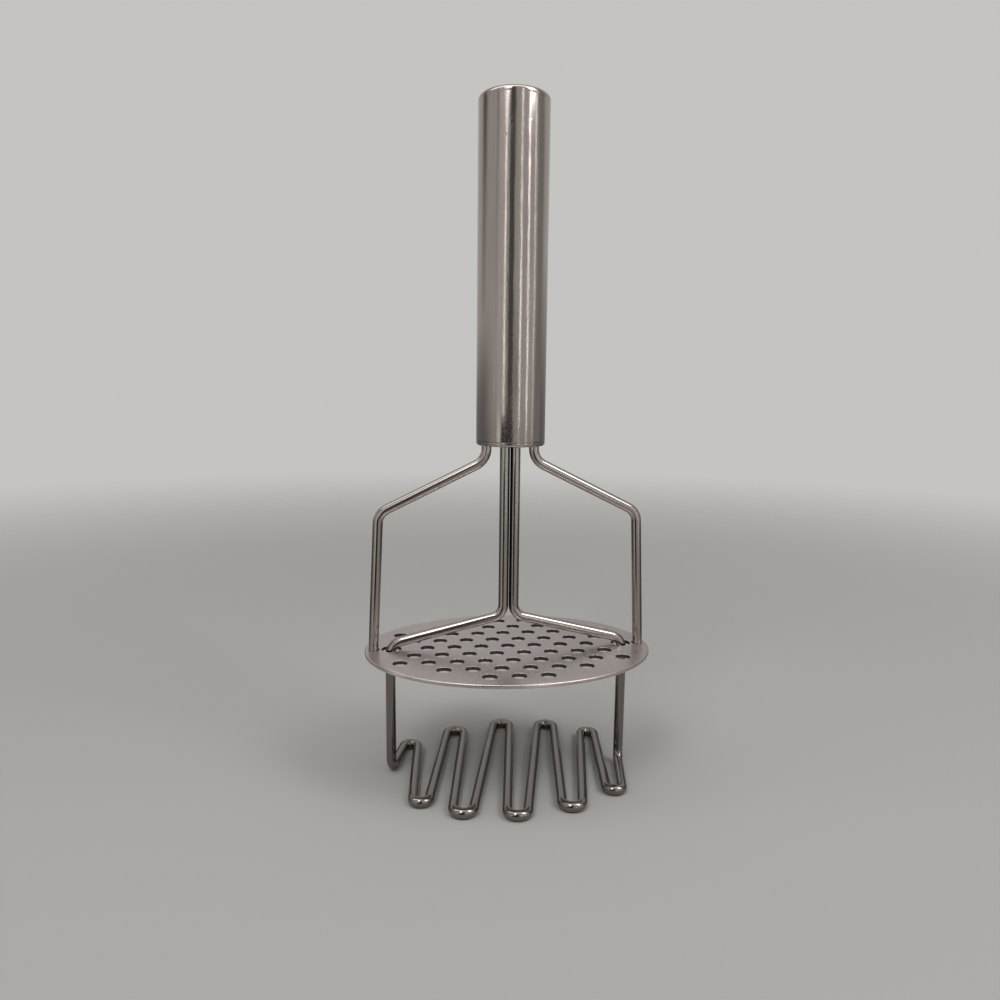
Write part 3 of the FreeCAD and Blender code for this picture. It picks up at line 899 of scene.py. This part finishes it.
class MASHER_OT_stage(Operator):
    """Set up the floor, the soft light, the studio cards and the camera"""

    bl_idname = "masher.stage"
    bl_label = "Stage"

    def execute(self, context):
        stage = context.scene.masher_stage
        self.floor(stage)
        self.sky(context.scene, stage)
        self.lamps(context.scene, stage)
        for card in CARDS:
            self.card(stage, *card)
        self.camera(context.scene, stage)
        context.scene.view_settings.view_transform = "Standard"
        return {"FINISHED"}

    def show(self, mesh, name, material):
        """The mesh as an object that belongs to the stage."""
        data = bpy.data.meshes.new(name)
        mesh.to_mesh(data)
        mesh.free()
        data.materials.append(material)
        thing = bpy.data.objects.new(name, data)
        bpy.context.scene.collection.objects.link(thing)
        return thing

    def floor(self, stage):
        mesh = bmesh.new()
        bmesh.ops.create_circle(mesh, cap_ends=True, segments=FLOOR_STEPS, radius=stage.floor_radius)
        self.show(mesh, "floor", floor_matt(stage.floor_colour, stage.floor_radius))

    def sky(self, scene, stage):
        """A world that shows the backdrop to the eye and in reflections, and lights evenly from all sides."""
        world = bpy.data.worlds.new("soft_sky")
        scene.world = world
        world.use_nodes = True
        tree = world.node_tree
        tree.nodes.clear()
        seen = tree.nodes.new("ShaderNodeBackground")
        seen.inputs["Color"].default_value = (*stage.backdrop_colour, 1)
        even = tree.nodes.new("ShaderNodeBackground")
        even.inputs["Strength"].default_value = stage.sky_strength
        even.inputs["Color"].default_value = (*SKY_WHITE, 1)
        rays = tree.nodes.new("ShaderNodeLightPath")
        direct = rays.outputs["Is Camera Ray"]
        for name in ("Is Glossy Ray", "Is Transmission Ray"):
            either = tree.nodes.new("ShaderNodeMath")
            either.operation = "MAXIMUM"
            tree.links.new(direct, either.inputs[0])
            tree.links.new(rays.outputs[name], either.inputs[1])
            direct = either.outputs[0]
        choice = tree.nodes.new("ShaderNodeMixShader")
        output = tree.nodes.new("ShaderNodeOutputWorld")
        tree.links.new(direct, choice.inputs[0])
        tree.links.new(even.outputs[0], choice.inputs[1])
        tree.links.new(seen.outputs[0], choice.inputs[2])
        tree.links.new(choice.outputs[0], output.inputs["Surface"])

    def lamps(self, scene, stage):
        for name, around, up, wide, deep, part in LAMPS:
            data = bpy.data.lights.new(name, "AREA")
            data.energy = stage.lamp_power * part
            data.shape = "RECTANGLE"
            data.size = wide
            data.size_y = deep
            lamp = bpy.data.objects.new(name, data)
            away = self.towards(stage, around, up)
            lamp.location = away * stage.lamp_distance
            lamp.rotation_euler = (-away).to_track_quat("-Z", "Y").to_euler()
            lamp.visible_camera = False
            scene.collection.objects.link(lamp)

    def towards(self, stage, around, up=0):
        """The direction that lies so many degrees round from the camera and so many degrees up."""
        level = Vector((stage.camera_place[0], stage.camera_place[1], 0)).normalized()
        level.rotate(Matrix.Rotation(math.radians(around), 3, "Z"))
        return level * math.cos(math.radians(up)) + UP * math.sin(math.radians(up))

    def card(self, stage, name, around, wide, soft, distance, low, high, *levels):
        """A card that curves round the handle and that only reflections see."""
        mesh = bmesh.new()
        start = self.towards(stage, around - wide / 2) * distance
        ends = [mesh.verts.new(start + UP * height) for height in (low, high)]
        edge = mesh.edges.new(ends)
        bmesh.ops.spin(
            mesh, geom=[*ends, edge], cent=(0, 0, 0), axis=UP, angle=math.radians(wide),
            steps=max(2, round(wide / CARD_STEP)),
        )
        middle = self.towards(stage, around)
        card = self.show(mesh, name, glowing(name, middle, wide, soft, low, high, *levels))
        card.visible_camera = False
        card.visible_diffuse = False
        card.visible_shadow = False
        card.visible_transmission = False

    def camera(self, scene, stage):
        data = bpy.data.cameras.new("camera")
        data.sensor_width = SENSOR_WIDTH
        data.lens = stage.camera_lens
        pitch, yaw, roll = stage.camera_pitch, stage.camera_yaw, stage.camera_roll
        ahead = Vector(
            (math.sin(yaw) * math.cos(pitch), math.cos(yaw) * math.cos(pitch), -math.sin(pitch))
        )
        level = Vector((math.cos(yaw), -math.sin(yaw), 0))
        above = level.cross(ahead)
        right = level * math.cos(roll) + above * math.sin(roll)
        top = above * math.cos(roll) - level * math.sin(roll)
        turn = Matrix((right, top, -ahead)).transposed().to_4x4()
        camera = bpy.data.objects.new("camera", data)
        camera.matrix_world = Matrix.Translation(stage.camera_place) @ turn
        scene.collection.objects.link(camera)
        scene.camera = camera


class MASHER_PT_panel(Panel):
    """Lists the masher's sizes, colours and pieces"""

    bl_idname = "MASHER_PT_panel"
    bl_label = "Potato masher"
    bl_space_type = "VIEW_3D"
    bl_region_type = "UI"
    bl_category = "Masher"

    def draw(self, context):
        scene = context.scene
        for group in (scene.masher_sizes, scene.masher_finish, scene.masher_stage):
            box = self.layout.box()
            for name in group.__annotations__:
                box.prop(group, name)
        for operator in OPERATORS:
            self.layout.operator(operator.bl_idname)


OPERATORS = (
    MASHER_OT_handle,
    MASHER_OT_frame_rods,
    MASHER_OT_press_rods,
    MASHER_OT_wave,
    MASHER_OT_plate,
    MASHER_OT_inside,
    MASHER_OT_stage,
)
CLASSES = (MasherSizes, MasherFinish, MasherStage, *OPERATORS, MASHER_PT_panel)


def register():
    for item in CLASSES:
        bpy.utils.register_class(item)
    bpy.types.Scene.masher_sizes = PointerProperty(type=MasherSizes)
    bpy.types.Scene.masher_finish = PointerProperty(type=MasherFinish)
    bpy.types.Scene.masher_stage = PointerProperty(type=MasherStage)


def unregister():
    del bpy.types.Scene.masher_stage
    del bpy.types.Scene.masher_finish
    del bpy.types.Scene.masher_sizes
    for item in reversed(CLASSES):
        bpy.utils.unregister_class(item)


def main():
    register()
    bpy.ops.masher.handle()
    bpy.ops.masher.frame_rods()
    bpy.ops.masher.press_rods()
    bpy.ops.masher.wave()
    bpy.ops.masher.plate()
    bpy.ops.masher.inside()
    bpy.ops.masher.stage()


if __name__ == "__main__":
    main()
